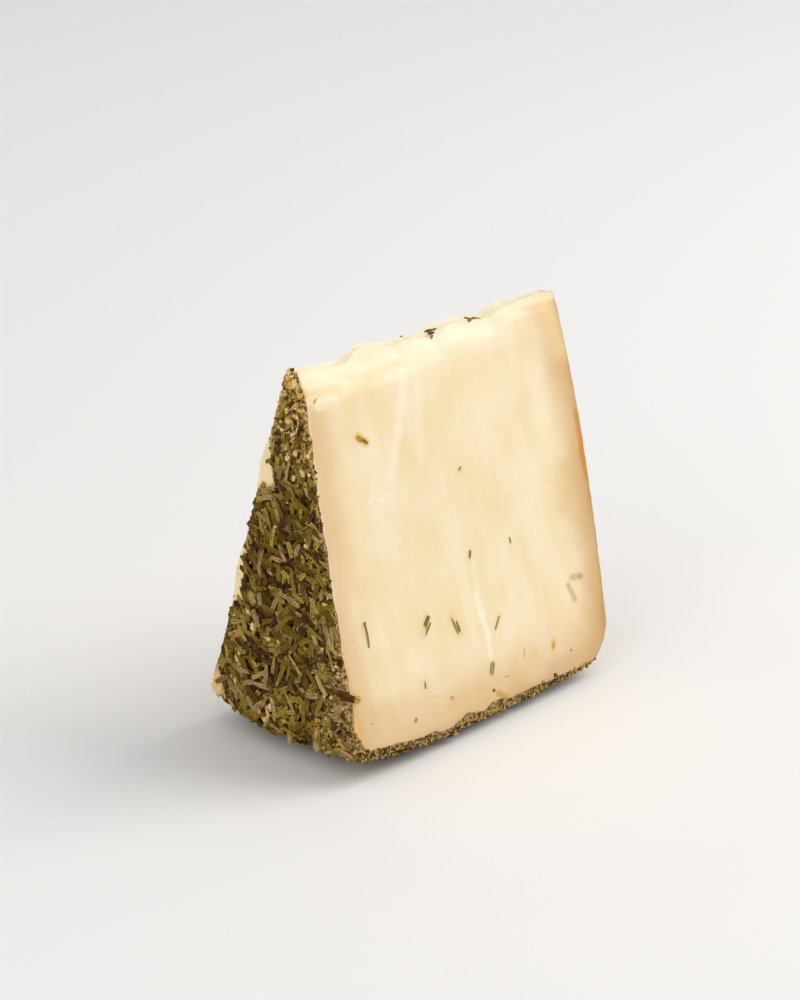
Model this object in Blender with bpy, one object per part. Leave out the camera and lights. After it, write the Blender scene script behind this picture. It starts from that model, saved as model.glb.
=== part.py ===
"""A wedge of rosemary sheep cheese, cut from a round wheel and standing on the wheel's rim.

Metres, +Z up. X runs along the wheel's axle, from the face with the thick rosemary coat to the
plain face. The wide cut face looks towards -Y and leans back, and the broken tip is on top. The
origin is on the surface that the wedge stands on, under the middle of its box.
"""

import random
from math import atan2, cos, hypot, pi, radians, sin

import bmesh
import bpy
from mathutils import Vector, noise

# The wheel, as it was before it was cut
WHEEL_RADIUS = 0.1104
WHEEL_HEIGHT = 0.0955
RIM_DROP_TO_COAT = 0.0036
RIM_DROP_TO_PLAIN = 0.0024
COAT_FACE_DISH = 0.0058
PLAIN_FACE_SWELL = 0.0028
COAT_CORNER_RADIUS = 0.0035
PLAIN_CORNER_RADIUS = 0.0095
AXLE_HEIGHT = 0.1100

# The two cuts, as turns about the axle from straight down, and the waves that the knife left
FRONT_CUT = radians(-14.2)
REAR_CUT = radians(14.4)
KNIFE_WAVE = 0.0005
KNIFE_WAVE_LENGTH = 0.030

# The broken tip, at places across: distance from the axle, then how far down the front cut face the
# break reaches and how deep it is at the top
BROKEN_TIP = [
    (0.00, 0.0100, 0.0085, 0.0020),
    (0.17, 0.0114, 0.0080, 0.0022),
    (0.24, 0.0090, 0.0100, 0.0028),
    (0.34, 0.0108, 0.0090, 0.0026),
    (0.50, 0.0112, 0.0055, 0.0018),
    (0.58, 0.0103, 0.0050, 0.0016),
    (0.73, 0.0114, 0.0045, 0.0014),
    (0.80, 0.0104, 0.0040, 0.0012),
    (1.00, 0.0112, 0.0030, 0.0008),
]
TIP_DISTANCE, BREAK_REACH, BREAK_DEPTH = 1, 2, 3
BREAK_ROUGHNESS = 0.0018
BREAK_GRAIN = 0.0055
OTHER_GRAIN = Vector((0, 0, 7))

# The largest needles of the coat
NEEDLE_LENGTHS = (0.0050, 0.0080)
NEEDLE_WIDTH = 0.0012
NEEDLE_BEND = 0.0012
NEEDLE_SIDES = 4
NEEDLE_RINGS = ((-0.40, 0.75), (0.05, 1.0), (0.42, 0.6))
NEEDLE_LIFT = 0.0002
NEEDLE_SPACING = 0.0042
CUT_MARGIN = 0.0004
SIDE_MARGIN = 0.03
NEEDLE_DRAW = 12
COAT_FACE_NEEDLES = 78
RIM_NEEDLES = 84
PLAIN_FACE_NEEDLES = 24

# How finely the surface is divided
STEPS_ACROSS = 18
STEPS_OUTWARD = 15
STEPS_TURN = 7


def smooth_step(value):
    value = min(max(value, 0.0), 1.0)
    return value * value * (3 - 2 * value)


def closer_at_ends(share):
    """Draws evenly spaced shares from 0 to 1 together towards both ends."""
    return (1 - cos(pi * share)) / 2


def along_tip(across, measure):
    """One measure of the broken tip, eased from each of its places to the next."""
    for start, end in zip(BROKEN_TIP, BROKEN_TIP[1:]):
        if across <= end[0]:
            share = smooth_step((across - start[0]) / (end[0] - start[0]))
            return start[measure] + (end[measure] - start[measure]) * share
    return BROKEN_TIP[-1][measure]


def rounded_corner(side_gap, rim_gap, radius):
    """Moves a place near a square corner of the wheel onto its round one; gaps are to side and rim."""
    from_side = radius - side_gap
    from_rim = radius - rim_gap
    if from_side <= 0 or from_rim <= 0:
        return side_gap, rim_gap
    pull = max(from_side, from_rim) / hypot(from_side, from_rim)
    return radius - from_side * pull, radius - from_rim * pull


def section_place(across, outward):
    """A place in the wheel's cross-section, as distance along the axle and distance from it."""
    rim = WHEEL_RADIUS - RIM_DROP_TO_COAT * (1 - across) ** 6 - RIM_DROP_TO_PLAIN * across ** 5
    tip = along_tip(across, TIP_DISTANCE)
    radius = tip + (rim - tip) * outward
    coat_face = COAT_FACE_DISH * (1 - radius / rim) ** 2
    plain_face = WHEEL_HEIGHT + PLAIN_FACE_SWELL * sin(pi * (radius / rim) ** 0.8)
    along = coat_face + (plain_face - coat_face) * across
    if across < 0.5:
        side_gap, rim_gap = rounded_corner(along - coat_face, rim - radius, COAT_CORNER_RADIUS)
        return coat_face + side_gap, rim - rim_gap
    side_gap, rim_gap = rounded_corner(plain_face - along, rim - radius, PLAIN_CORNER_RADIUS)
    return plain_face - side_gap, rim - rim_gap


def wedge_point(across, outward, turn):
    """A point of the wedge. All three run from 0 to 1: along the axle, tip to rim, front to rear cut."""
    along, radius = section_place(across, outward)
    angle = FRONT_CUT + (REAR_CUT - FRONT_CUT) * turn
    sideways = radius * sin(angle)
    height = AXLE_HEIGHT - radius * cos(angle)

    away = 2 * turn - 1
    wave = noise.noise(Vector((along, radius, away * KNIFE_WAVE_LENGTH)) / KNIFE_WAVE_LENGTH)
    sideways += away * KNIFE_WAVE * wave

    below_tip = radius - along_tip(across, TIP_DISTANCE)
    broken = smooth_step(1 - below_tip / along_tip(across, BREAK_REACH))
    grain = Vector((along, radius, sideways)) / BREAK_GRAIN
    set_back = along_tip(across, BREAK_DEPTH) * (1 - turn)
    sideways += broken * (set_back + BREAK_ROUGHNESS * noise.noise(grain + OTHER_GRAIN) / 2)
    height += broken * BREAK_ROUGHNESS * noise.noise(grain)
    return Vector((along, sideways, height))


def coat_face_point(outward, turn):
    return wedge_point(0, outward, turn)


def plain_face_point(outward, turn):
    return wedge_point(1, outward, turn)


def rim_point(across, turn):
    return wedge_point(across, 1, turn)


def build_wedge():
    """The wedge without its needles: six grids that share the vertices along their edges."""
    mesh = bmesh.new()
    shared = {}

    def vertex(across, outward, turn):
        key = (across, outward, turn)
        if key not in shared:
            place = wedge_point(closer_at_ends(across), closer_at_ends(outward), turn)
            shared[key] = mesh.verts.new(place)
        return shared[key]

    def grid(rows, columns, place):
        for row in range(rows):
            for column in range(columns):
                corners = [(row, column), (row + 1, column), (row + 1, column + 1), (row, column + 1)]
                mesh.faces.new([vertex(*place(u / rows, v / columns)) for u, v in corners])

    for end in (0, 1):
        grid(STEPS_ACROSS, STEPS_OUTWARD, lambda u, v: (u, v, end))
        grid(STEPS_OUTWARD, STEPS_TURN, lambda u, v: (end, u, v))
        grid(STEPS_ACROSS, STEPS_TURN, lambda u, v: (u, end, v))
    bmesh.ops.recalc_face_normals(mesh, faces=mesh.faces)
    bmesh.ops.triangulate(mesh, faces=mesh.faces)
    return mesh


def build_needle(centre, normal, direction, length, bend):
    """One dried needle of 24 triangles, tapered to both ends and a little bent."""
    mesh = bmesh.new()
    sideways = normal.cross(direction).normalized()
    rings = []
    for station, share in NEEDLE_RINGS:
        middle = centre + direction * station * length + sideways * bend * (0.25 - station * station)
        ring = []
        for corner in range(NEEDLE_SIDES):
            angle = 2 * pi * corner / NEEDLE_SIDES
            offset = sideways * cos(angle) + normal * sin(angle)
            ring.append(mesh.verts.new(middle + offset * share * NEEDLE_WIDTH / 2))
        rings.append(ring)
    butt, point = (mesh.verts.new(centre + direction * half * length) for half in (-0.5, 0.5))
    for corner in range(NEEDLE_SIDES):
        after = (corner + 1) % NEEDLE_SIDES
        for ring, following in zip(rings, rings[1:]):
            mesh.faces.new((ring[corner], following[corner], following[after], ring[after]))
        mesh.faces.new((butt, rings[0][corner], rings[0][after]))
        mesh.faces.new((point, rings[-1][after], rings[-1][corner]))
    bmesh.ops.recalc_face_normals(mesh, faces=mesh.faces)
    return mesh


def has_room(point):
    """Whether a point is between the cuts, clear of the broken tip and above the flat on the rim."""
    drop = AXLE_HEIGHT - point.z
    radius = hypot(point.y, drop)
    angle = atan2(point.y, drop)
    margin = CUT_MARGIN / radius
    clear_of_tip = radius > BROKEN_TIP[0][TIP_DISTANCE] + CUT_MARGIN
    return clear_of_tip and point.z > 0 and FRONT_CUT + margin < angle < REAR_CUT - margin


def lay_needles(draw, place, count, name):
    """Needles that lie on one side of the wedge, evenly spread, as separate objects."""
    inside = Vector((WHEEL_HEIGHT / 2, 0, AXLE_HEIGHT - WHEEL_RADIUS / 2))
    step = 0.004
    centres = []
    needles = []
    while len(needles) < count:
        u = draw.uniform(SIDE_MARGIN, 1 - SIDE_MARGIN)
        v = draw.uniform(SIDE_MARGIN, 1 - SIDE_MARGIN)
        centre = place(u, v)
        slope_u = place(u + step, v) - place(u - step, v)
        slope_v = place(u, v + step) - place(u, v - step)
        normal = slope_u.cross(slope_v).normalized()
        if normal.dot(centre - inside) < 0:
            normal.negate()
        spin = draw.uniform(0, 2 * pi)
        flat = slope_u.normalized()
        direction = flat * cos(spin) + normal.cross(flat) * sin(spin)
        length = draw.uniform(*NEEDLE_LENGTHS)
        bend = draw.uniform(-NEEDLE_BEND, NEEDLE_BEND)
        ends = [centre + direction * half * length for half in (-0.5, 0.5)]
        if not all(has_room(end) for end in ends):
            continue
        if any((centre - other).length < NEEDLE_SPACING for other in centres):
            continue
        centres.append(centre)
        mesh = build_needle(centre + normal * NEEDLE_LIFT, normal, direction, length, bend)
        needles.append(add_object(mesh, f"{name}_{len(needles) + 1}"))
    return needles


def add_object(mesh, name):
    data = bpy.data.meshes.new(name)
    mesh.to_mesh(data)
    mesh.free()
    piece = bpy.data.objects.new(name, data)
    bpy.context.scene.collection.objects.link(piece)
    return piece


def finish_material(name, colour, roughness):
    material = bpy.data.materials.new(name)
    material.use_nodes = True
    shader = material.node_tree.nodes["Principled BSDF"]
    shader.inputs["Base Color"].default_value = (*colour, 1)
    shader.inputs["Roughness"].default_value = roughness
    shader.inputs["Metallic"].default_value = 0
    return material


def apply_boolean(piece, operation, others):
    """Joins or cuts a piece with all the others at once, and then removes them."""
    group = bpy.data.collections.new(f"{piece.name}_{operation.lower()}")
    for other in others:
        group.objects.link(other)
    modifier = piece.modifiers.new("boolean", "BOOLEAN")
    modifier.operation = operation
    modifier.operand_type = "COLLECTION"
    modifier.collection = group
    modifier.solver = "EXACT"
    shaped = piece.evaluated_get(bpy.context.evaluated_depsgraph_get())
    data = bpy.data.meshes.new_from_object(shaped)
    piece.modifiers.clear()
    piece.data = data
    for other in others:
        bpy.data.objects.remove(other)
    bpy.data.collections.remove(group)


def surface_below():
    """The space under the wedge, which takes the small flat off the rim where the wedge stands."""
    mesh = bmesh.new()
    bmesh.ops.create_cube(mesh, size=1)
    span = 3 * WHEEL_RADIUS
    bmesh.ops.scale(mesh, vec=(span, span, WHEEL_RADIUS), verts=mesh.verts)
    bmesh.ops.translate(mesh, vec=(0, 0, -WHEEL_RADIUS / 2), verts=mesh.verts)
    return add_object(mesh, "surface_below")


def keep_outer_skin(piece):
    """Drops everything but the largest closed skin: pockets shut in by needles, and loose scraps."""
    mesh = bmesh.new()
    mesh.from_mesh(piece.data)
    waiting = set(mesh.faces)
    skins = []
    while waiting:
        reached = [waiting.pop()]
        skin = set(reached)
        while reached:
            for edge in reached.pop().edges:
                for face in edge.link_faces:
                    if face in waiting:
                        waiting.remove(face)
                        skin.add(face)
                        reached.append(face)
        skins.append(skin)
    skins.sort(key=len)
    for skin in skins[:-1]:
        corners = {corner for face in skin for corner in face.verts}
        bmesh.ops.delete(mesh, geom=list(corners), context="VERTS")
    bmesh.ops.triangulate(mesh, faces=mesh.faces)
    mesh.to_mesh(piece.data)
    mesh.free()


def move_to_origin(piece):
    """Puts the middle of the wedge's box over the origin, and the flat on its rim at z = 0."""
    corners = [vertex.co for vertex in piece.data.vertices]
    for axis in (0, 1):
        middle = (min(corner[axis] for corner in corners) + max(corner[axis] for corner in corners)) / 2
        for corner in corners:
            corner[axis] -= middle


def build_cheese():
    draw = random.Random(NEEDLE_DRAW)
    wedge = add_object(build_wedge(), "cheese_wedge")
    needles = lay_needles(draw, coat_face_point, COAT_FACE_NEEDLES, "coat_face_needle")
    needles += lay_needles(draw, rim_point, RIM_NEEDLES, "rim_needle")
    needles += lay_needles(draw, plain_face_point, PLAIN_FACE_NEEDLES, "plain_face_needle")
    apply_boolean(wedge, "UNION", needles)
    apply_boolean(wedge, "DIFFERENCE", [surface_below()])
    keep_outer_skin(wedge)
    move_to_origin(wedge)
    wedge.data.materials.append(finish_material("sheep_cheese", (0.93, 0.80, 0.55), 0.45))


for leftover in list(bpy.data.objects):
    bpy.data.objects.remove(leftover)
build_cheese()
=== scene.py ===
"""The looks of one wedge of rosemary sheep cheese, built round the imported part.

Metres, +Z up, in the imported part's frame. X runs along the wheel's axle, from the face with the thick
rosemary coat to the plain face, and the wide cut face looks towards -Y. A place on the wheel is given by
how far it is along the axle, how far it is from the axle, and its turn about the axle.
"""

from math import cos, hypot, pi, radians, sin

import bmesh
import bpy
import numpy as np
from mathutils import Matrix, Vector
from mathutils.bvhtree import BVHTree


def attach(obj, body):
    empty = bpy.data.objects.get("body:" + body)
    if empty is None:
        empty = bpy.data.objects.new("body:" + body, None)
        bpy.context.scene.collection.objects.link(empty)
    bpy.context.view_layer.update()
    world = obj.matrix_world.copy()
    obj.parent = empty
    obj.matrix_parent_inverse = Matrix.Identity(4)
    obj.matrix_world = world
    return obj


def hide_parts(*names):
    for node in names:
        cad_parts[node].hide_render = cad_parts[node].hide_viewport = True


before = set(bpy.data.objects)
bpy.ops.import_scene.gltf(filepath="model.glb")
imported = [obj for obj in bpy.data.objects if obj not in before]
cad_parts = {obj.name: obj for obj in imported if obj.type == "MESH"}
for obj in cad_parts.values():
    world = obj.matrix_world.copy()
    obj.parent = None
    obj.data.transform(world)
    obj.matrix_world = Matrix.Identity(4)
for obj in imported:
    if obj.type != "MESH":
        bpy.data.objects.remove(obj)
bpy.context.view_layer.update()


# The paste
# The pale, firm cheese itself: a wedge cut by knife from a round wheel that stands on its rim. Both cut
# faces are smooth, and the tip broke off in soft lumps. It leaves room outside for the rind and the coat.

WHEEL_RADIUS = 0.1104
WHEEL_HEIGHT = 0.0955
RIM_DROP_TO_COAT = 0.0036
RIM_DROP_TO_PLAIN = 0.0024
COAT_FACE_DISH = 0.0058
PLAIN_FACE_SWELL = 0.0028
COAT_CORNER_RADIUS = 0.0035
PLAIN_CORNER_RADIUS = 0.0095
AXLE_HEIGHT = 0.1100
BOX_MIDDLE = np.array((0.04915, 0.00030, 0))
FRONT_CUT = radians(-14.2)
REAR_CUT = radians(14.4)
KNIFE_WAVE = 0.0003
KNIFE_WAVE_LENGTH = 0.024

# How thick the coat is on each side of the wheel, and how unevenly the cheese meets it
FACE_COAT = 0.0009
RIM_COAT = 0.0025
RIM_COAT_ENDS = (0.58, 0.93)
BARE_RIND = 0.0003
COAT_WOBBLE = 0.60
COAT_WOBBLE_LENGTH = 0.0032

# The broken tip, at places across: distance from the axle, then how far down the front cut face the
# break reaches and how deep it is at the top
BROKEN_TIP = np.array([
    (0.00, 0.0100, 0.0085, 0.0020),
    (0.17, 0.0114, 0.0080, 0.0022),
    (0.24, 0.0090, 0.0100, 0.0028),
    (0.34, 0.0108, 0.0090, 0.0026),
    (0.50, 0.0112, 0.0055, 0.0018),
    (0.58, 0.0103, 0.0050, 0.0016),
    (0.73, 0.0114, 0.0045, 0.0014),
    (0.80, 0.0104, 0.0040, 0.0012),
    (0.92, 0.0103, 0.0035, 0.0010),
    (1.00, 0.0107, 0.0030, 0.0008),
])
TIP_DISTANCE, BREAK_REACH, BREAK_DEPTH = 1, 2, 3
TIP_LEAN = 0.0009
LEAN_START = 0.80
LEAN_WIDTH = 0.18
FIRM_END_START = 0.88
FIRM_END_WIDTH = 0.10
FIRM_END_CALM = 0.7
TEAR_REACH = 1.1
TEAR_FADE = 2.5
LUMP_SIZES = (0.0110, 0.0046, 0.0018)
LUMP_HEIGHTS = (0.0007, 0.0004, 0.00012)
LUMP_LEVEL = 0.35

# Where the paste bulges past the rear cut beside the coat face: distance from the axle, and how far
REAR_BULGES = np.array([
    (0.025, 0.0), (0.035, 0.0015), (0.041, 0.0003), (0.056, 0.0), (0.067, 0.0013), (0.074, 0.0002),
    (0.084, 0.0004), (0.096, 0.0019), (0.103, 0.0020), (0.107, 0.0013),
])
BULGE_WIDTH = 0.012

# How finely the surface is divided
ACROSS_STEPS = 150
BROKEN_STEPS = 44
OUTWARD_STEPS = 108
TURN_STEPS = 48
BROKEN_SHARE = 0.12


def smooth_step(value):
    value = np.clip(value, 0, 1)
    return value * value * (3 - 2 * value)


def wander(places, size, draw_number):
    """Random values from -1 to 1 that change smoothly over about one size, the same on every run."""
    cells = 32
    table = np.random.default_rng(draw_number).uniform(-1, 1, (cells, cells, cells))
    scaled = places / size
    cell = np.floor(scaled).astype(int)
    share = smooth_step(scaled - cell)
    value = 0
    for corner in np.ndindex(2, 2, 2):
        weight = np.where(corner, share, 1 - share).prod(axis=-1)
        x, y, z = np.moveaxis((cell + corner) % cells, -1, 0)
        value = value + weight * table[x, y, z]
    return value


def along_tip(across, measure):
    """One measure of the broken tip, eased from each of its places to the next."""
    places = BROKEN_TIP[:, 0]
    before = np.clip(np.searchsorted(places, across) - 1, 0, len(places) - 2)
    share = smooth_step((across - places[before]) / (places[before + 1] - places[before]))
    return BROKEN_TIP[before, measure] * (1 - share) + BROKEN_TIP[before + 1, measure] * share


def rim_distance(across):
    return WHEEL_RADIUS - RIM_DROP_TO_COAT * (1 - across) ** 6 - RIM_DROP_TO_PLAIN * across ** 5


def rim_coat(across):
    """The coat's thickness on the rim, which thins out towards the plain face."""
    start, end = RIM_COAT_ENDS
    return BARE_RIND + (RIM_COAT - BARE_RIND) * (1 - smooth_step((across - start) / (end - start)))


def wedge_points(across, outward, turn, peel):
    """Points of the wedge with a share of the coat peeled off, from shares of the way to a place.

    Across is along the axle, outward from the tip to the rim, and turn from the front to the rear cut."""
    across, outward, turn, peel = np.broadcast_arrays(across, outward, turn, peel)
    rough = np.stack((across * WHEEL_HEIGHT, outward * WHEEL_RADIUS, turn * WHEEL_RADIUS / 2), -1)
    depth = peel * (1 + COAT_WOBBLE * wander(rough, COAT_WOBBLE_LENGTH, 3))
    rim = rim_distance(across) - depth * rim_coat(across)
    tip = along_tip(across, TIP_DISTANCE)
    radius = tip + (rim - tip) * outward
    share = radius / rim
    coat_face = COAT_FACE_DISH * (1 - share) ** 2 + depth * FACE_COAT
    plain_face = WHEEL_HEIGHT + PLAIN_FACE_SWELL * np.sin(pi * share ** 0.8) - depth * BARE_RIND
    along = coat_face + (plain_face - coat_face) * across

    near_coat = across < 0.5
    side_gap = np.where(near_coat, along - coat_face, plain_face - along)
    corner = np.where(near_coat, COAT_CORNER_RADIUS, PLAIN_CORNER_RADIUS)
    from_side = corner - side_gap
    from_rim = corner - (rim - radius)
    in_corner = (from_side > 0) & (from_rim > 0)
    pull = np.maximum(from_side, from_rim) / np.where(in_corner, np.hypot(from_side, from_rim), 1)
    side_gap = np.where(in_corner, corner - from_side * pull, side_gap)
    along = np.where(near_coat, coat_face + side_gap, plain_face - side_gap)
    radius = rim - np.where(in_corner, corner - from_rim * pull, rim - radius)

    angle = FRONT_CUT + (REAR_CUT - FRONT_CUT) * turn
    sideways = radius * np.sin(angle)
    height = AXLE_HEIGHT - radius * np.cos(angle)
    away = 2 * turn - 1
    waves = np.stack((along, radius, away * KNIFE_WAVE_LENGTH), -1)
    sideways = sideways + away * KNIFE_WAVE * wander(waves, KNIFE_WAVE_LENGTH, 4)

    bulge = np.interp(radius, *REAR_BULGES.T) * smooth_step(1 - along / BULGE_WIDTH)
    sideways = sideways + bulge * smooth_step(2 * turn - 1)

    below_tip = (radius - tip) / along_tip(across, BREAK_REACH)
    broken = smooth_step(1 - below_tip)
    firm = smooth_step((across - FIRM_END_START) / FIRM_END_WIDTH)
    torn = smooth_step(TEAR_FADE * (TEAR_REACH - below_tip)) * (1 - FIRM_END_CALM * firm)
    sideways = sideways + broken * along_tip(across, BREAK_DEPTH) * (1 - turn)
    leaning = smooth_step((across - LEAN_START) / LEAN_WIDTH)
    height = height + TIP_LEAN * broken * (1 - turn) * leaning
    place = np.stack((along, radius, sideways), -1)
    for step, (size, lump) in enumerate(zip(LUMP_SIZES, LUMP_HEIGHTS)):
        height = height + torn * lump * (np.abs(wander(place, size, 10 + step)) - LUMP_LEVEL)
        sideways = sideways + torn * lump * away * (np.abs(wander(place, size, 20 + step)) - LUMP_LEVEL)
    return np.stack((along, sideways, height), -1)


def to_part(points):
    """Moves points from the wheel's frame to the part's, and flattens what would be below the surface."""
    points = points - BOX_MIDDLE
    points[..., 2] = np.maximum(points[..., 2], 0)
    return points


def box_lattice(counts):
    """The skin of a box of small blocks: the step numbers of its points, and its four-cornered faces."""
    steps, faces, total = [], [], 0
    for fixed in range(3):
        first, second = (fixed + 1) % 3, (fixed + 2) % 3
        for end in (0, counts[fixed]):
            side = np.zeros((counts[first] + 1, counts[second] + 1, 3), int)
            side[..., fixed] = end
            side[..., first] = np.arange(counts[first] + 1)[:, None]
            side[..., second] = np.arange(counts[second] + 1)
            corner = total + np.arange(side[..., 0].size).reshape(side.shape[:2])
            quads = np.stack((corner[:-1, :-1], corner[1:, :-1], corner[1:, 1:], corner[:-1, 1:]), -1)
            faces.append(quads.reshape(-1, 4)[:, ::1 if end else -1])
            steps.append(side.reshape(-1, 3))
            total += corner.size
    steps, shared = np.unique(np.concatenate(steps), axis=0, return_inverse=True)
    return steps, shared.reshape(-1)[np.concatenate(faces)]


def show(name, data):
    """Puts a mesh, a lamp or the camera into the scene."""
    thing = bpy.data.objects.new(name, data)
    bpy.context.scene.collection.objects.link(thing)
    return thing


def add_piece(name, points, faces, finish, values):
    """A mesh from points in the wheel's frame, with its material and its values for each point."""
    mesh = bpy.data.meshes.new(name)
    mesh.from_pydata(to_part(points).tolist(), [], faces)
    for label, numbers in values.items():
        vector = numbers.ndim == 2
        layer = mesh.attributes.new(label, "FLOAT_VECTOR" if vector else "FLOAT", "POINT")
        layer.data.foreach_set("vector" if vector else "value", numbers.astype(np.float32).ravel())
    mesh.shade_smooth()
    mesh.set_sharp_from_angle(angle=radians(50))
    mesh.materials.append(finish.material)
    return show(name, mesh)


def screen_colour(shade):
    """A colour for a shader, from parts out of 255 as a screen shows them. A node's output stays."""
    if isinstance(shade, bpy.types.NodeSocket):
        return shade
    parts = np.array(shade) / 255
    linear = np.where(parts <= 0.04045, parts / 12.92, ((parts + 0.055) / 1.055) ** 2.4)
    return (*linear.tolist(), 1)


class Finish:
    """A material made of nodes, with short ways to add them and to lay one colour over another."""

    def __init__(self, name, roughness, **constants):
        self.material = bpy.data.materials.new(name)
        self.material.use_nodes = True
        self.tree = self.material.node_tree
        self.shader = self.tree.nodes["Principled BSDF"]
        self.shader.inputs["Roughness"].default_value = roughness
        for socket, value in constants.items():
            self.shader.inputs[socket.replace("_", " ").title().replace("Ior", "IOR")].default_value = value

    def add(self, kind, inputs, output=0, **settings):
        """A node's output. Each input is a plain value, a node's output or the name of a mesh value."""
        node = self.tree.nodes.new("ShaderNode" + kind)
        for setting, value in settings.items():
            setattr(node, setting, value)
        for socket, value in inputs.items():
            if isinstance(value, str):
                value = self.add("Attribute", {}, "Fac", attribute_name=value)
            if isinstance(value, bpy.types.NodeSocket):
                self.tree.links.new(value, node.inputs[socket])
            else:
                node.inputs[socket].default_value = value
        return node.outputs[output]

    def place(self, name="wheel_place"):
        return self.add("Attribute", {}, "Vector", attribute_name=name)

    def number(self, operation, first, second):
        return self.add("Math", {0: first, 1: second}, operation=operation)

    def vector(self, operation, first, second=(0.0, 0.0, 0.0), output="Vector"):
        return self.add("VectorMath", {0: first, 1: second}, output, operation=operation)

    def fade(self, value, full, none, most=1.0):
        """The most where the value is at full, easing to 0 where it is at none."""
        inputs = {"Value": value, "From Min": full, "From Max": none, "To Min": most, "To Max": 0.0}
        return self.add("MapRange", inputs, "Result", interpolation_type="SMOOTHSTEP")

    def grain(self, place, size, detail=2.0):
        """Cloudy noise of about this size in millimetres, from 0 to 1."""
        return self.add("TexNoise", {"Vector": place, "Scale": 1 / size, "Detail": detail}, "Fac")

    def swing(self, noise, reach):
        """Noise as a shift both ways, by up to half of the reach."""
        return self.number("MULTIPLY", self.number("SUBTRACT", noise, 0.5), reach)

    def stroke(self, place, ends, width, soft, most):
        """The most along a short line, easing to 0 past its half width over the soft edge, in millimetres."""
        run = (ends[2] - ends[0], ends[3] - ends[1], 0.0)
        back_by = 1 / max(run[0] ** 2 + run[1] ** 2, 0.01)
        offset = self.vector("SUBTRACT", place, (*ends[:2], 0.0))
        along = self.vector("DOT_PRODUCT", offset, run, "Value")
        share = self.add("Math", {0: along, 1: back_by}, operation="MULTIPLY", use_clamp=True)
        nearest = self.add("VectorMath", {0: run, "Scale": share}, operation="SCALE")
        distance = self.vector("LENGTH", self.vector("SUBTRACT", offset, nearest), output="Value")
        return self.fade(distance, max(width - soft, 0.0) / 2, (width + soft) / 2, most)

    def ramp(self, value, stops):
        """Colours along a value, from pairs of a position and a colour."""
        output = self.add("ValToRGB", {"Fac": value}, "Color")
        points = output.node.color_ramp.elements
        while len(points) < len(stops):
            points.new(0.5)
        for point, (position, shade) in zip(points, stops):
            point.position = position
            point.color = screen_colour(shade)
        return output

    def mix(self, share, first, second):
        inputs = {0: share, 6: screen_colour(first), 7: screen_colour(second)}
        return self.add("Mix", inputs, 2, data_type="RGBA")

    def tint(self, shade, share, *fading):
        """Lays a colour over the colour so far, by a share or by how a value fades."""
        self.shade = self.mix(self.fade(share, *fading) if fading else share, self.shade, shade)

    def cover(self, height, distance):
        """Gives the surface its colour and its fine relief."""
        bump = self.add("Bump", {"Height": height, "Distance": distance}, "Normal")
        self.tree.links.new(bump, self.shader.inputs["Normal"])
        self.tree.links.new(self.shade, self.shader.inputs["Base Color"])


def from_cuts(sideways, drop):
    """How far a place sideways and down from the axle is inside the front cut and the rear cut."""
    front = sideways * cos(FRONT_CUT) - drop * sin(FRONT_CUT)
    return front, drop * sin(REAR_CUT) - sideways * cos(REAR_CUT)


def wheel_values(points):
    """Where points in the wheel's frame are, and how far from its sides, in millimetres."""
    along = points[:, 0]
    radius = np.hypot(points[:, 1], AXLE_HEIGHT - points[:, 2])
    across = np.clip(along / WHEEL_HEIGHT, 0, 1)
    rim = rim_distance(across)
    share = np.minimum(radius / rim, 1)
    return {
        "wheel_place": 1000 * np.stack((along, radius, points[:, 1]), -1),
        "from_coat": 1000 * (along - COAT_FACE_DISH * (1 - share) ** 2),
        "from_rim": 1000 * (rim - radius),
        "from_plain": 1000 * (WHEEL_HEIGHT + PLAIN_FACE_SWELL * np.sin(pi * share ** 0.8) - along),
        "from_tip": 1000 * (radius - along_tip(across, TIP_DISTANCE)),
        "from_cut": 1000 * np.minimum(*from_cuts(points[:, 1], AXLE_HEIGHT - points[:, 2])),
    }


def closer_at_ends(steps, strength):
    """Shares from 0 to 1 that lie closer together near both ends."""
    even = np.linspace(0, 1, steps + 1)
    return even * (1 - strength) + (1 - np.cos(pi * even)) / 2 * strength


across_shares = closer_at_ends(ACROSS_STEPS, 0.4)
turn_shares = closer_at_ends(TURN_STEPS, 0.3)
whole_shares = 1 - (1 - np.linspace(0, 1, OUTWARD_STEPS + 1)) ** 1.15
outward_shares = np.concatenate((
    np.linspace(0, BROKEN_SHARE, BROKEN_STEPS + 1)[:-1],
    BROKEN_SHARE + (1 - BROKEN_SHARE) * whole_shares,
))
steps, paste_faces = box_lattice((ACROSS_STEPS, len(outward_shares) - 1, TURN_STEPS))
paste_points = wedge_points(
    across_shares[steps[:, 0]], outward_shares[steps[:, 1]], turn_shares[steps[:, 2]], 1.0
)

cheese = Finish(
    "sheep_paste",
    roughness=0.46,
    subsurface_weight=0.25,
    subsurface_scale=0.004,
    subsurface_radius=(1.0, 0.7, 0.4),
    specular_ior_level=0.35,
)
place = cheese.place()
clouds = cheese.grain(place, 18)
streaks = cheese.grain(cheese.vector("MULTIPLY", place, (1.0, 0.07, 1.0)), 7.0)
mottle = cheese.grain(place, 1.6, 3.0)
cheese.shade = cheese.ramp(clouds, [
    (0.32, (238, 216, 168)), (0.52, (242, 222, 182)), (0.72, (245, 227, 194)),
])
cheese.tint((248, 234, 206), streaks, 0.66, 0.48, 0.45)

# Darker towards the rind, along an uneven line: the side, how far it reaches in millimetres, and how much
uneven = cheese.swing(clouds, 10.0)
for side, reach, strength, tint in (
    ("from_rim", 21.0, 0.72, (216, 174, 118)),
    ("from_coat", 13.0, 0.66, (218, 176, 120)),
    ("from_plain", 15.0, 0.95, (208, 166, 106)),
    ("from_plain", 3.0, 0.55, (190, 138, 80)),
    ("from_rim", 5.0, 0.45, (200, 152, 100)),
):
    cheese.tint(tint, cheese.number("ADD", side, uneven), 0.0, reach, strength)

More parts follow.
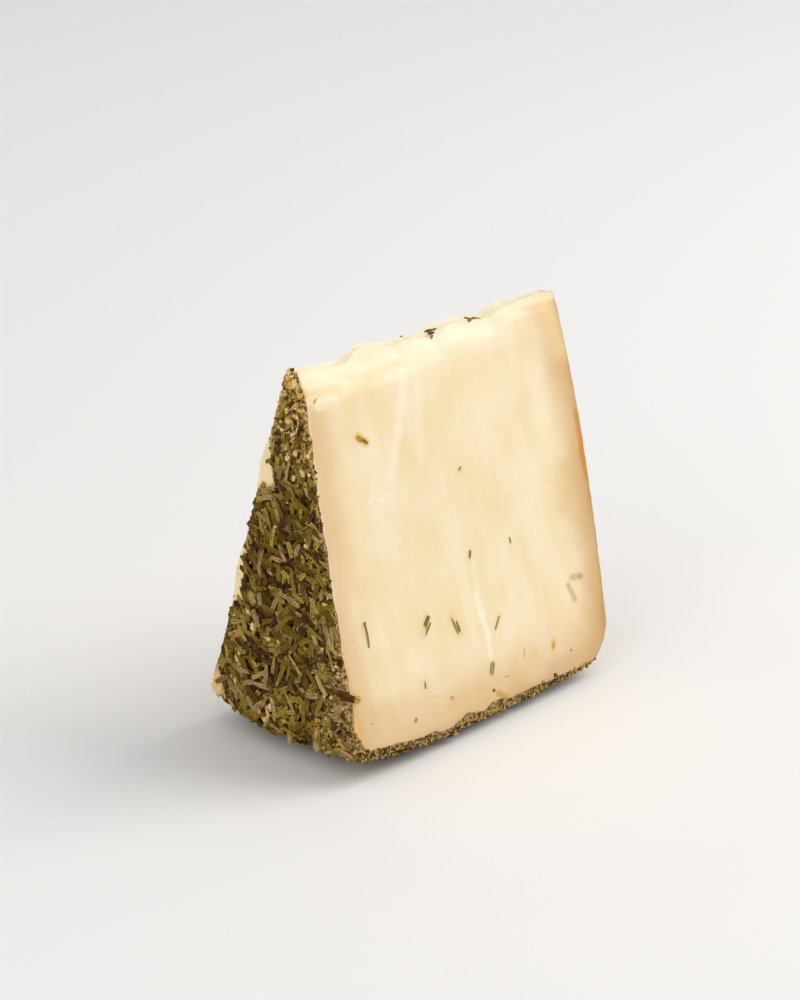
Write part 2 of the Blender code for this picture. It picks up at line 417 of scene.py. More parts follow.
# Whiter at the tip, cream in the break and beside the coat
off_plain = cheese.fade("from_plain", 34.0, 6.0)
whitened = cheese.number("MULTIPLY", cheese.fade("from_tip", 1.5, 11.0, 0.75), off_plain)
cheese.tint((255, 244, 218), whitened)
cheese.tint((255, 239, 205), "from_tip", 0.4, 1.8, 0.75)
cheese.tint((240, 216, 180), "from_coat", 0.9, 1.8, 0.55)
cheese.tint((228, 200, 152), mottle, 0.36, 0.52, 0.08)

# Marks on the front cut face by colour, stains and a few painted highlights and painted shade: the two ends
# of each, in millimetres along the axle and from it, then its width, how soft its edge is, and its strength
# A pale crack with a painted highlight along its fold, and two painted glints
PAINTED_CRACK_AND_GLINT_HIGHLIGHT = (253, 243, 220)
PALE_SMEAR = (251, 239, 216)
FLAKE = (249, 228, 196)
YELLOW_STAIN = (224, 204, 122)
AMBER_STAIN = (230, 184, 76)
OCHRE_STAIN = (200, 150, 66)
OLIVE_BLUR = (178, 150, 84)
TIP_CORNER = (252, 222, 166)
ORANGE_SPOT = (226, 148, 44)
SALMON_CHIP = (232, 184, 128)
RUST_STAIN = (210, 138, 36)
PEACH_EDGE = (226, 178, 112)
# Painted shade low on the front cut face near the rim
PAINTED_LOW_SHADE = (205, 170, 124)
MARKS = [
    # A pale crack with a painted highlight along its fold
    (PAINTED_CRACK_AND_GLINT_HIGHLIGHT, [
        (50.6, 69.5, 49.7, 78.4, 0.6, 2.6, 0.3), (49.2, 79.0, 50.0, 84.1, 2.2, 2.8, 0.6),
        (50.0, 84.1, 51.0, 89.5, 1.7, 2.2, 0.62), (51.0, 89.5, 50.6, 95.3, 1.0, 1.8, 0.7),
        # Two painted glints on the face
        (18.9, 46.0, 21.8, 44.5, 0.5, 0.7, 0.8), (22.9, 46.2, 25.7, 45.3, 0.5, 0.7, 0.8),
    ]),
    (PALE_SMEAR, [
        (37.9, 18.0, 32.9, 30.8, 2.2, 3.4, 0.55), (32.9, 30.8, 27.8, 41.7, 1.8, 3.2, 0.5),
        (42.0, 22.0, 39.0, 40.0, 1.5, 4.0, 0.35),
    ]),
    (YELLOW_STAIN, [
        (6.4, 15.4, 16.4, 16.2, 2.0, 2.6, 0.45), (25.0, 16.5, 38.0, 15.0, 1.6, 3.0, 0.28),
        (51.8, 47.0, 52.2, 46.2, 0.7, 0.8, 0.6), (31.1, 78.8, 28.8, 82.5, 2.0, 2.0, 0.55),
        (39.0, 81.2, 41.1, 86.1, 2.4, 2.0, 0.6), (9.6, 74.1, 9.7, 79.6, 1.2, 1.3, 0.6),
        (50.1, 67.3, 49.3, 69.0, 1.6, 1.6, 0.45), (64.6, 69.5, 65.3, 72.0, 1.2, 1.6, 0.3),
        (56.4, 86.1, 53.9, 89.1, 1.4, 1.5, 0.6), (50.8, 97.0, 49.6, 100.1, 1.8, 1.6, 0.3),
        (67.7, 98.9, 67.6, 101.0, 1.0, 1.2, 0.75),
    ]),
    (FLAKE, [(8.4, 18.6, 14.6, 18.0, 2.2, 0.8, 0.8)]),
    (SALMON_CHIP, [(3.8, 12.4, 5.4, 14.8, 2.2, 1.0, 0.8)]),
    (AMBER_STAIN, [
        (19.1, 29.0, 21.5, 31.0, 2.2, 1.5, 0.85), (74.5, 98.8, 74.0, 100.6, 2.1, 1.4, 0.4),
        (2.0, 96.9, 1.7, 98.1, 1.3, 0.8, 0.85),
    ]),
    (ORANGE_SPOT, [(74.3, 99.5, 74.1, 100.2, 1.3, 0.7, 0.95), (35.0, 101.2, 34.7, 101.9, 0.6, 0.5, 0.9)]),
    (TIP_CORNER, [(93.0, 12.0, 95.5, 24.0, 6.0, 8.0, 0.5)]),
    (RUST_STAIN, [
        (97.2, 42.5, 97.2, 52.0, 1.8, 1.3, 0.8), (97.3, 53.0, 97.8, 60.0, 2.9, 1.3, 0.95),
        (98.2, 60.0, 98.7, 64.0, 0.9, 1.3, 0.6),
    ]),
    (OLIVE_BLUR, [
        (51.0, 97.3, 49.8, 99.9, 1.2, 0.8, 0.6), (63.1, 97.7, 62.7, 99.4, 0.6, 0.8, 0.55),
        (85.5, 84.6, 88.9, 85.3, 1.5, 1.8, 0.6), (83.6, 86.2, 85.1, 90.6, 1.4, 1.6, 0.6),
        (98.0, 63.1, 97.6, 67.9, 0.6, 1.1, 0.45), (97.4, 73.4, 96.8, 79.3, 0.8, 1.2, 0.55),
        (96.5, 87.6, 96.2, 92.5, 0.6, 1.1, 0.45),
    ]),
    (OCHRE_STAIN, [
        (49.6, 10.1, 50.8, 11.0, 1.0, 1.6, 0.6), (50.9, 105.4, 53.4, 107.6, 1.7, 1.2, 0.8),
        (87.9, 85.0, 89.1, 85.4, 0.7, 1.2, 0.45), (0.5, 40.5, 0.8, 49.5, 1.2, 1.6, 0.6),
    ]),
    (YELLOW_STAIN, [(84.0, 86.6, 85.0, 90.0, 0.3, 0.8, 0.35)]),
    # Painted shade along the bottom of the front cut face, towards the plain face
    (PAINTED_LOW_SHADE, [(72.6, 106.2, 91.8, 107.1, 5.0, 6.0, 0.5)]),
    (PEACH_EDGE, [
        (0.6, 49.5, 0.6, 64.0, 0.8, 2.0, 0.5), (0.6, 64.0, 1.0, 92.0, 1.6, 2.6, 0.7),
        (1.0, 92.0, 2.0, 106.0, 2.2, 3.0, 0.75),
    ]),
]
elsewhere = cheese.vector("ADD", place, (40.0, 40.0, 40.0))
bend = cheese.swing(cheese.grain(elsewhere, 9.0, 1.0), 1.6)
along, radius, sideways = cheese.add("SeparateXYZ", {0: place}).node.outputs
on_front = cheese.add("CombineXYZ", {
    0: cheese.number("ADD", along, bend),
    1: radius,
    2: cheese.number("MULTIPLY", cheese.number("MAXIMUM", sideways, 0.0), 50.0),
})
for tint, strokes in MARKS:
    for *ends, width, soft, strength in strokes:
        cheese.tint(tint, cheese.stroke(on_front, ends, width, soft, strength))
squeezed = cheese.vector("MULTIPLY", place, (1.0, 0.45, 1.0))
herb_spots = cheese.add("TexVoronoi", {"Vector": squeezed, "Scale": 1 / 9}, "Distance")
on_rear = cheese.fade(sideways, 4.0, 0.0, 0.7)
stained = cheese.number("MULTIPLY", cheese.fade(herb_spots, 0.05, 0.12), on_rear)
cheese.tint(OCHRE_STAIN, stained)
coarse = cheese.number("MULTIPLY", streaks, 0.8)
fine = cheese.number("MULTIPLY", mottle, 0.5)
cheese.cover(cheese.number("ADD", coarse, fine), 0.00012)

paste = add_piece("paste", paste_points, paste_faces.tolist(), cheese, wheel_values(paste_points))
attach(paste, "root")
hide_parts("cheese_wedge")


# The rind
# The wheel's dry outside: a thin crust of grey mould, oil and crushed herb that the needles stick to. It
# is dark under the coat, bare and tan on the plain face, and cream where the coat has rubbed off.

RIND_OUTSIDE = 0.45
RIND_INSIDE = 1.25
RIND_SET_BACK = 0.00008
RIND_LUMP = 0.35
RIM_LUMP = 0.10
RIND_LUMP_LENGTH = 0.0016
RIND_ACROSS_STEPS = 120
RIND_OUTWARD_STEPS = 150
RIND_TURN_STEPS = 80

# Where the coat has rubbed off the coat face: the middle of each patch, sideways and down from the axle,
# and its half width and half height
RUBBED_PATCHES = np.array([
    (0.0084, 0.0325, 0.0028, 0.0068), (0.0098, 0.0375, 0.0054, 0.0044),
    (0.0158, 0.0625, 0.0024, 0.0064), (0.0182, 0.0700, 0.0042, 0.0054),
    (0.0252, 0.0990, 0.0036, 0.0050),
])
PALE_STREAKS = np.array([
    (0.0160, 0.0905, 0.0011, 0.0026), (0.0186, 0.0955, 0.0013, 0.0030), (0.0066, 0.1027, 0.0012, 0.0024),
    (0.0045, 0.0984, 0.0009, 0.0016), (0.0062, 0.0930, 0.0010, 0.0013), (-0.0020, 0.0630, 0.0008, 0.0022),
    (-0.0109, 0.1019, 0.0012, 0.0016), (-0.0013, 0.1033, 0.0010, 0.0014), (0.0026, 0.0795, 0.0008, 0.0013),
    (0.0128, 0.0766, 0.0009, 0.0014), (-0.0069, 0.0505, 0.0007, 0.0016), (0.0020, 0.0426, 0.0006, 0.0016),
])
PATCH_EDGE = 0.35
CRUST_RISE = 1.15
CRUST_RISE_LENGTH = 0.0034

# Where crust fills the coat: how far down from the axle, and how far towards the front cut
UPPER_END = 0.046
UPPER_FADE = 0.024
FRONT_START = 0.008
FRONT_FADE = 0.008
LOWER_START = 0.066
LOWER_FADE = 0.012

down = np.linspace(0, 1, RIND_OUTWARD_STEPS + 1)
over = closer_at_ends(RIND_ACROSS_STEPS, 0.5)
profile_across = np.concatenate((0 * down, over[1:-1], 0 * down + 1))
profile_outward = np.concatenate((down, 0 * over[1:-1] + 1, down[::-1]))
steps, faces = box_lattice((len(profile_across) - 1, 1, RIND_TURN_STEPS))
across = profile_across[steps[:, 0]]
outward = profile_outward[steps[:, 0]]
turn = np.linspace(0, 1, RIND_TURN_STEPS + 1)[steps[:, 2]]
width = (REAR_CUT - FRONT_CUT) * np.maximum(outward * WHEEL_RADIUS, BROKEN_TIP[0, TIP_DISTANCE])
edge = RIND_SET_BACK / width
turn = edge + (1 - 2 * edge) * turn
rough = np.stack((across * WHEEL_HEIGHT, outward * WHEEL_RADIUS, turn * width), -1)
lumps = np.where(outward < 1, RIND_LUMP, RIM_LUMP) * wander(rough, RIND_LUMP_LENGTH, 31)


def patch_share(u, v, patches):
    """1 inside oval patches of the coat face, easing to 0 round them."""
    share = 0
    for x, y, half_width, half_height in patches:
        reach = np.hypot((u - x) / half_width, (v - y) / half_height)
        share = np.maximum(share, smooth_step((1 + PATCH_EDGE - reach) / (2 * PATCH_EDGE)))
    return share


def upper_share(v):
    """1 on the narrow upper part of the coat face, where crust and crumbs fill the coat."""
    return smooth_step((UPPER_END - v) / UPPER_FADE)


def lower_front_share(u, v):
    """1 low down on the coat face near the front cut, where beige crust fills the coat."""
    return smooth_step((-u - FRONT_START) / FRONT_FADE) * smooth_step((v - LOWER_START) / LOWER_FADE)


points = wedge_points(across, outward, turn, RIND_OUTSIDE)
u, v = points[:, 1], AXLE_HEIGHT - points[:, 2]
values = wheel_values(points)
on_face = smooth_step((4 - values["from_coat"]) / 2)
values["rubbed"] = patch_share(u, v, RUBBED_PATCHES) * on_face
values["pale"] = patch_share(u, v, PALE_STREAKS) * on_face
values["upper"] = upper_share(v) * on_face
values["beige"] = lower_front_share(u, v) * on_face
filled = np.maximum(0.80 * values["upper"], 0.80 * values["beige"])
filled = filled * smooth_step(0.5 + 1.3 * wander(rough, CRUST_RISE_LENGTH, 32))
filled = np.maximum(filled, np.maximum(0.75 * values["pale"], 0.35 * values["rubbed"]))
outside = RIND_OUTSIDE - lumps * (1 - 0.8 * values["rubbed"]) - CRUST_RISE * filled
points = wedge_points(across, outward, turn, np.where(steps[:, 1] == 1, outside, RIND_INSIDE))
values["wheel_place"] = wheel_values(points)["wheel_place"]

crust = Finish("mouldy_rind", roughness=0.9, specular_ior_level=0.06)
place = crust.place()
crumbs = crust.grain(place, 0.9, 4.0)
patches = crust.grain(place, 4.5, 3.0)
crust.shade = crust.ramp(crumbs, [
    (0.32, (60, 32, 2)), (0.46, (88, 60, 18)), (0.56, (122, 94, 52)), (0.68, (162, 136, 90)),
])
pale_crust = crust.ramp(crumbs, [
    (0.34, (78, 54, 28)), (0.46, (140, 110, 68)), (0.58, (184, 152, 104)), (0.68, (212, 184, 134)),
])
ochre_crust = crust.ramp(crumbs, [
    (0.35, (84, 54, 20)), (0.43, (176, 126, 44)), (0.52, (222, 176, 90)), (0.62, (238, 208, 144)),
])
tan = crust.ramp(patches, [
    (0.30, (156, 122, 76)), (0.42, (190, 146, 92)), (0.54, (206, 164, 112)), (0.70, (224, 192, 144)),
])
cream = crust.mix(crust.fade("from_rim", 6.0, 18.0), (255, 234, 184), (244, 204, 146))
from_bare = crust.number("ADD", "from_plain", crust.swing(patches, 14.0))
crust.tint(pale_crust, patches, 0.66, 0.52, 0.5)
crust.tint(pale_crust, crust.number("MULTIPLY", "beige", 0.75))
crust.tint(ochre_crust, crust.number("MULTIPLY", "upper", 0.9))
crust.tint(pale_crust, "from_cut", 0.3, 1.2, 0.65)
crust.tint((186, 160, 112), "pale")
crust.tint(cream, "rubbed")
crust.tint(tan, from_bare, 4.0, 13.0)
crust.cover(crumbs, 0.0003)

rind = add_piece("rind", points, faces.tolist(), crust, values)
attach(rind, "root")


# The rosemary coat
# Dried rosemary, chopped short and pressed on in layers while the rind was damp. Each needle is a thin
# bar with a groove down its back, cut square or pointed at its ends, and the knife trimmed the edges.

NEEDLE_LENGTHS = (0.0026, 0.0070)
NEEDLE_WIDTHS = (0.00110, 0.00190)
NEEDLE_THICKNESS = 0.58
NEEDLE_BEND = 0.0006
NEEDLE_BEND_AT = 0.005
NEEDLE_TILT = 0.20
NEEDLE_SLANT = 0.25
NEEDLE_ENDS = (0.35, 0.80, 0.92)
NEEDLE_END_CHANCES = (0.35, 0.30, 0.35)
TAPER_START = 0.2
TAPER_LENGTH = 0.3
NEEDLE_STATIONS = np.array((-0.50, -0.44, 0.0, 0.42, 0.50))
NEEDLE_SECTION = np.array([
    (-0.50, 0.02), (-0.26, 0.46), (0.0, 0.20), (0.26, 0.46), (0.50, 0.02), (0.24, -0.42), (-0.24, -0.42),
])
WHOLE_NEEDLE = (NEEDLE_STATIONS, NEEDLE_SECTION)
PILE_CELL = 0.00025
PILE_LIMIT = 0.0010
PILE_SETTLE = 60
PILE_SLOPE = 0.12
PILE_GROWTH = 0.7
PILE_LINES = (-0.4, 0, 0.4)
TOP_LENGTHS = (0.0032, 0.0064)
TOP_WIDTHS = (0.00115, 0.00180)
TOP_LIMIT = 0.0016
TOP_SETTLE = 76
TOP_TONES = (0.06, 0.34, 0.50, 0.66, 0.80, 0.90, 0.95)
TOP_TONE_CHANCES = (0.10, 0.12, 0.20, 0.20, 0.13, 0.13, 0.12)
PILE_AT_CUTS = 0.35
STICK_OUT = 0.00012
LOOSE_STICK_OUT = 0.0010
LOOSE_SHARE = 0.02
COAT_FACE_NEEDLES = 900
TOP_LAYER_NEEDLES = 300
FLAT_SIDE = ((-0.028, 0.009), (0.028, 0.108))
TIP_END = 0.0098
BARE_AT_RIM = 0.0006
EDGE_GAP_SPACING = 0.0025
EDGE_GAPS = np.random.default_rng(40).uniform(0, 0.0016, 60)
LEAST_EDGE_GAP = 0.0002
LEAST_LIFT = 0.0001
SLOPE_STEP = 0.0006


class Pile:
    """A side of the wheel laid flat, and how high the needles on it already reach."""

    def __init__(self, low, high):
        self.low = np.array(low)
        self.high = np.array(high)
        self.grown = np.zeros(((self.high - self.low) / PILE_CELL).astype(int) + 1)

    def drop(self, draw, chance, count, lengths, widths, limit, settle=PILE_SETTLE):
        """Drops needles one by one, each resting on a percentile of the heights below it.

        Returns, for each needle, its place, heading, length, width, height and rise along its length."""
        along = np.linspace(-0.5, 0.5, 11)
        laid = []
        while len(laid) < count:
            spot = draw.uniform(self.low, self.high)
            if draw.uniform() > chance(*spot):
                continue
            heading = draw.uniform(0, pi)
            length = draw.uniform(*lengths)
            width = draw.uniform(*widths)
            forward = np.array((cos(heading), sin(heading)))
            sideways = np.array((-forward[1], forward[0]))
            middle_line = spot + np.outer(along * length, forward)
            lines = [middle_line + sideways * width * offset for offset in PILE_LINES]
            cells = ((np.array(lines) - self.low) / PILE_CELL).astype(int)
            rows, columns = np.clip(cells, 0, np.array(self.grown.shape) - 1).transpose(2, 0, 1)
            below = self.grown[rows, columns].max(axis=0)
            rise = np.clip((along @ below) / (along @ along), -PILE_SLOPE * length, PILE_SLOPE * length)
            height = min(np.percentile(below - rise * along, settle), limit)
            top = height + rise * along + width * NEEDLE_THICKNESS * PILE_GROWTH
            np.maximum.at(self.grown, (rows, columns), np.broadcast_to(top, rows.shape))
            laid.append((*spot, heading, length, width, height, rise))
        return np.array(laid).T


def unit(vectors):
    return vectors / np.linalg.norm(vectors, axis=1, keepdims=True)


def needle_mesh(draw, centre, forward, upward, length, width, shape=WHOLE_NEEDLE, tone=None):
    """All needles of one piece: points, faces and values. Forward holds each needle's rise."""
    count = len(centre)
    stations, section = shape
    forward = unit(forward)
    sideways = unit(np.cross(upward, forward))
    upward = np.cross(forward, sideways)
    tilt = draw.normal(0, NEEDLE_TILT, (count, 1))
    sideways, upward = (
        sideways * np.cos(tilt) + upward * np.sin(tilt),
        upward * np.cos(tilt) - sideways * np.sin(tilt),
    )
    ends = draw.choice(NEEDLE_ENDS, (count, 2), p=NEEDLE_END_CHANCES)
    end = np.where(stations < 0, ends[:, :1], ends[:, 1:])
    taper = np.clip((np.abs(stations) - TAPER_START) / TAPER_LENGTH, 0, 1) ** 2
    girth = width[:, None] * (1 - (1 - end) * taper)
    bend = draw.normal(0, NEEDLE_BEND, (count, 1)) * (length[:, None] / NEEDLE_BEND_AT) ** 2
    curve = bend * (0.25 - stations ** 2)
    across = girth[:, :, None] * section[:, 0]
    high = girth[:, :, None] * section[:, 1] * NEEDLE_THICKNESS
    slant = draw.normal(0, NEEDLE_SLANT, (count, 1, 1)) * across * np.abs(stations)[:, None]
    far = (stations * length[:, None])[:, :, None] + slant
    points = centre[:, None, None] + forward[:, None, None] * far[..., None]
    points = points + sideways[:, None, None] * (across + curve[..., None])[..., None]
    points = points + upward[:, None, None] * high[..., None]

    rings, sides = len(stations), len(section)
    ring = np.arange(sides)
    after = np.roll(ring, -1)
    first = sides * np.arange(rings - 1)[:, None]
    walls = np.stack((first + ring, first + sides + ring, first + sides + after, first + after), -1)
    offset = (rings * sides * np.arange(count))[:, None]
    faces = (walls.ravel() + offset).reshape(-1, 4)[:, ::-1].tolist()
    faces += (ring + offset).tolist()
    faces += ((rings - 1) * sides + ring[::-1] + offset).tolist()
    if tone is None:
        tone = draw.uniform(0, 1, (count, 1))
    values = {
        "tone": tone[:, :, None],
        "dust": draw.uniform(0, 1, count)[:, None, None],
        "back": np.abs(section[:, 0]) * 2,
    }
    spread = np.ones((count, rings, sides))
    values = {name: (numbers * spread).ravel() for name, numbers in values.items()}
    return points.reshape(-1, 3), faces, values


def trim_to_cuts(draw, points, count):
    """Moves what would stick out of the cut faces back to them, but for a few loose needles."""
    loose = draw.uniform(0, 1, count) < LOOSE_SHARE
    allowed = np.where(loose, LOOSE_STICK_OUT, STICK_OUT) * draw.uniform(0, 1, count)
    allowed = np.repeat(allowed, len(points) // count)
    inside_both = from_cuts(points[:, 1], AXLE_HEIGHT - points[:, 2])
    for inside, back in zip(inside_both, (1 / cos(FRONT_CUT), -1 / cos(REAR_CUT))):
        points[:, 1] += back * np.maximum(-inside - allowed, 0)
    return points


def on_coat_face(u, v, across=0.0):
    """A place on the coat face, or on the flat side where across is 1, from sideways and down."""
    tip = along_tip(across, TIP_DISTANCE)
    turn = (np.arctan2(u, v) - FRONT_CUT) / (REAR_CUT - FRONT_CUT)
    outward = (np.hypot(u, v) - tip) / (rim_distance(across) - tip)
    return wedge_points(across, outward, turn, RIND_OUTSIDE)


def lie_on(place, u, v, lift, heading=0.0, slope=0.0):
    """Centres, forward directions and upward directions of what lies on one side of the wheel."""
    centre = place(u, v)
    along_u = unit(place(u + SLOPE_STEP, v) - place(u - SLOPE_STEP, v))
    along_v = place(u, v + SLOPE_STEP) - place(u, v - SLOPE_STEP)
    upward = unit(np.cross(along_u, along_v))
    inside = np.array((WHEEL_HEIGHT / 2, 0, AXLE_HEIGHT - WHEEL_RADIUS / 2))
    upward *= np.sign(((centre - inside) * upward).sum(axis=1, keepdims=True))
    flat = np.cross(upward, along_u)
    flat *= np.sign((flat * along_v).sum(axis=1, keepdims=True))
    heading = np.reshape(heading, (-1, 1))
    forward = along_u * np.cos(heading) + flat * np.sin(heading) + upward * np.reshape(slope, (-1, 1))
    return centre + upward * lift[:, None], forward, upward


def inside_cuts(u, v, margin):
    """Whether a place on a flat side is between the cuts and off the broken tip, with a margin."""
    radius = np.hypot(u, v)
    angle = np.arctan2(u, v)
    room = margin / radius
    return (FRONT_CUT + room < angle) & (angle < REAR_CUT - room) & (radius > TIP_END)


def coat_face_chance(u, v):
    """How likely a needle is to stick at a place: none at the edges and the bare patches."""
    gap = np.interp(v / EDGE_GAP_SPACING, np.arange(len(EDGE_GAPS)), EDGE_GAPS)
    if not inside_cuts(u, v, max(gap, LEAST_EDGE_GAP)) or hypot(u, v) > rim_distance(0) - BARE_AT_RIM:
        return 0
    bare = max(patch_share(u, v, RUBBED_PATCHES), patch_share(u, v, PALE_STREAKS))
    return (bare < 0.4) * (1 - 0.72 * upper_share(v)) * (1 - 0.72 * lower_front_share(u, v))


# Needles that stand out on the coat face: the two ends of each, in millimetres sideways and down from the
# axle, then its width and its tone at each end
TOP_NEEDLES = [
    (-18.7, 104.3, -24.3, 101.9, 1.3, 1.0, 0.99), (-24.4, 101.6, -22.6, 104.3, 0.9, 0.76, 0.78),
    (-10.0, 40.3, -10.6, 43.6, 1.0, 1.0, 0.97), (-11.0, 44.4, -11.6, 47.0, 1.1, 0.99, 0.8),
    (-11.9, 47.4, -12.3, 49.6, 0.9, 1.0, 0.92), (-4.0, 25.4, -5.6, 27.4, 1.2, 0.8, 0.78),
    (-1.7, 8.9, 0.3, 9.5, 0.9, 0.3, 0.6), (-1.5, 9.8, -0.3, 10.6, 0.8, 0.2, 0.3),
    (2.2, 11.3, 3.3, 14.4, 1.1, 0.04, 0.12), (1.5, 12.6, 2.3, 15.8, 0.9, 0.0, 0.06),
    (3.9, 16.0, 2.4, 18.6, 0.8, 0.92, 0.6), (-0.4, 14.2, 0.6, 17.2, 1.0, 0.3, 1.0),
    (-2.4, 18.6, -3.9, 21.8, 0.9, 0.4, 0.5), (2.8, 19.4, 3.7, 22.8, 0.9, 0.78, 0.62),
    (-1.6, 22.0, 1.2, 24.2, 1.1, 0.82, 0.9), (2.6, 24.4, 4.6, 26.4, 1.2, 0.06, 0.12),
    (-3.6, 22.6, -2.6, 25.4, 1.1, 0.1, 0.02), (-4.9, 60.2, -7.0, 64.8, 1.9, 0.9, 0.86),
    (-5.9, 53.2, -7.4, 57.6, 1.5, 0.95, 0.9), (-14.0, 69.4, -17.0, 74.4, 1.8, 0.9, 0.88),
    (-8.6, 72.8, -10.4, 78.6, 1.5, 0.7, 0.56), (-13.4, 88.6, -17.2, 89.8, 1.8, 0.05, 0.02),
    (-19.6, 97.8, -20.8, 98.8, 1.9, 0.02, 0.0),
]


def low_at_cuts(u, v, lift):
    """How high needles on the coat face lie, no more than the knife left standing near the cuts."""
    return np.minimum(lift, LEAST_LIFT + PILE_AT_CUTS * np.minimum(*from_cuts(u, v)))


herb = Finish("dried_rosemary", roughness=0.65, specular_ior_level=0.10)
place = herb.place("needle_place")
fibre = herb.grain(place, 0.5, 3.0)
tones = herb.number("ADD", "tone", herb.swing(fibre, 0.40))
herb.shade = herb.ramp(tones, [
    (0.00, (46, 24, 8)), (0.06, (76, 54, 42)), (0.13, (58, 30, 0)), (0.28, (90, 60, 4)),
    (0.42, (112, 83, 14)), (0.54, (130, 102, 26)), (0.66, (150, 122, 40)), (0.76, (174, 148, 64)),
    (0.83, (200, 176, 92)), (0.87, (142, 114, 70)), (0.95, (190, 162, 114)), (0.985, (212, 184, 132)),
    (1.00, (208, 142, 24)),
])
# Painted shade down the groove of each needle and along its two edges
painted_groove_shade = herb.fade("back", 0.05, 0.42, 0.32)
painted_edge_shade = herb.fade("back", 1.0, 0.70, 0.55)
lint = herb.fade(fibre, 0.65, 0.48)
dusty = herb.number("MULTIPLY", herb.fade("dust", 1.0, 0.60, 0.45), lint)
herb.tint((138, 112, 66), herb.grain(place, 4.0), 0.66, 0.50, 0.28)
herb.tint((50, 32, 6), herb.number("MAXIMUM", painted_groove_shade, painted_edge_shade))
herb.tint((150, 128, 88), dusty)
herb.tint((204, 178, 106), "soaked")
herb.cover(fibre, 0.00015)


def finish_needles(name, points, faces, values):
    """Adds one piece of needles, which takes the rosemary finish."""
    values["needle_place"] = 1000 * points
    piece = add_piece(name, points, faces, herb, values)
    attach(piece, "root")


def lay_needles(name, draw, place, laid, shape=WHOLE_NEEDLE, tone=None, soaked=None):
    """Adds one piece of needles that lie on a side of the wheel as they were dropped on its pile."""
    u, v, heading, length, width, lift, rise = laid
    if place is on_coat_face:
        lift = low_at_cuts(u, v, lift)
    centre, forward, upward = lie_on(place, u, v, lift, heading, rise / length)
    points, faces, values = needle_mesh(draw, centre, forward, upward, length, width, shape, tone)
    points = trim_to_cuts(draw, points, len(u))
    if soaked is not None:
        soaked = soaked * draw.uniform(0, 1, len(u)) ** 2
        values["soaked"] = np.repeat(soaked, len(points) // len(u))
    finish_needles(name, points, faces, values)


draw = np.random.default_rng(41)
coat_pile = Pile(*FLAT_SIDE)
laid = coat_pile.drop(draw, coat_face_chance, COAT_FACE_NEEDLES, NEEDLE_LENGTHS, NEEDLE_WIDTHS, PILE_LIMIT)
on_top = coat_pile.drop(
    draw, coat_face_chance, TOP_LAYER_NEEDLES, TOP_LENGTHS, TOP_WIDTHS, TOP_LIMIT, TOP_SETTLE
)
dropped = np.concatenate((laid, on_top), axis=1)
dropped[3] *= 1 - 0.40 * upper_share(dropped[1])
dropped[4] *= 1 - 0.22 * upper_share(dropped[1])
top_tone = draw.choice(TOP_TONES, TOP_LAYER_NEEDLES, p=TOP_TONE_CHANCES)
lower_tone = draw.uniform(0.02, 0.86, COAT_FACE_NEEDLES)
tone = np.concatenate((lower_tone, top_tone + draw.uniform(-0.06, 0.03, TOP_LAYER_NEEDLES)))
tone = np.repeat(tone[:, None], len(NEEDLE_STATIONS), axis=1)
*ends, width, start_tone, end_tone = np.array(TOP_NEEDLES).T
tone = np.concatenate((tone, np.linspace(start_tone, end_tone, len(NEEDLE_STATIONS), axis=1)))
ends = np.transpose(ends).reshape(-1, 2, 2) / 1000
run = ends[:, 1] - ends[:, 0]
standing_out = np.stack((
    *ends.mean(axis=1).T,
    np.arctan2(run[:, 1], run[:, 0]),
    np.linalg.norm(run, axis=1),
    width / 1000,
    PILE_LIMIT + 0 * width,
    0 * width,
))
laid = np.concatenate((dropped, standing_out), axis=1)
soaked = np.maximum(upper_share(laid[1]), 0.8 * lower_front_share(laid[0], laid[1]))
soaked[-len(TOP_NEEDLES):] = 0
lay_needles("coat_face_needles", draw, on_coat_face, laid, tone=tone, soaked=soaked)


# The scraps between the needles
# What else the chopping left: short splinters of needle, sifted into the gaps of the coat and lying on
# top of it, thickest on the narrow upper part.

SCRAP = (
    np.array((-0.5, 0.0, 0.5)),
    np.array([(-0.50, -0.10), (-0.20, 0.45), (0.25, 0.40), (0.50, -0.15), (0.0, -0.45)]),
)
SCRAP_LENGTHS = (0.0010, 0.0028)
SCRAP_WIDTHS = (0.0005, 0.0010)
COAT_FACE_SCRAPS = 480


def coat_scrap_chance(u, v):
    return (coat_face_chance(u, v) > 0) * (0.30 + 0.70 * max(upper_share(v), lower_front_share(u, v)))


draw = np.random.default_rng(42)
laid = coat_pile.drop(draw, coat_scrap_chance, COAT_FACE_SCRAPS, SCRAP_LENGTHS, SCRAP_WIDTHS, PILE_LIMIT)
lay_needles("coat_face_scraps", draw, on_coat_face, laid, SCRAP)


# The mould and crumbs on the coat
# Grey-beige mould and crumbs of cheese that cling to the coat: soft lumps that fill the pale streaks
# between the needles, coarse oily lumps near the tip, and fine crumbs along the front edge.

CRUMB_SIZES = (0.00018, 0.00048)
CRUMB_STRETCH = (0.45, 1.75)
CRUMB_MARGIN = 0.0001
BARE_OF_CRUMBS_AT_RIM = 0.0003
FRONT_EDGE_REACH = 0.0020
FRONT_EDGE_FADE = 0.0016
ROUND_A_STREAK = (1, 1, 2.2, 1.6)
STREAK_LUMP_SIZES = (0.0005, 0.0010)
COAT_CRUMBS = 900
LUMPS_IN_A_STREAK = 16
TIP_LUMP_SHARE = 0.8

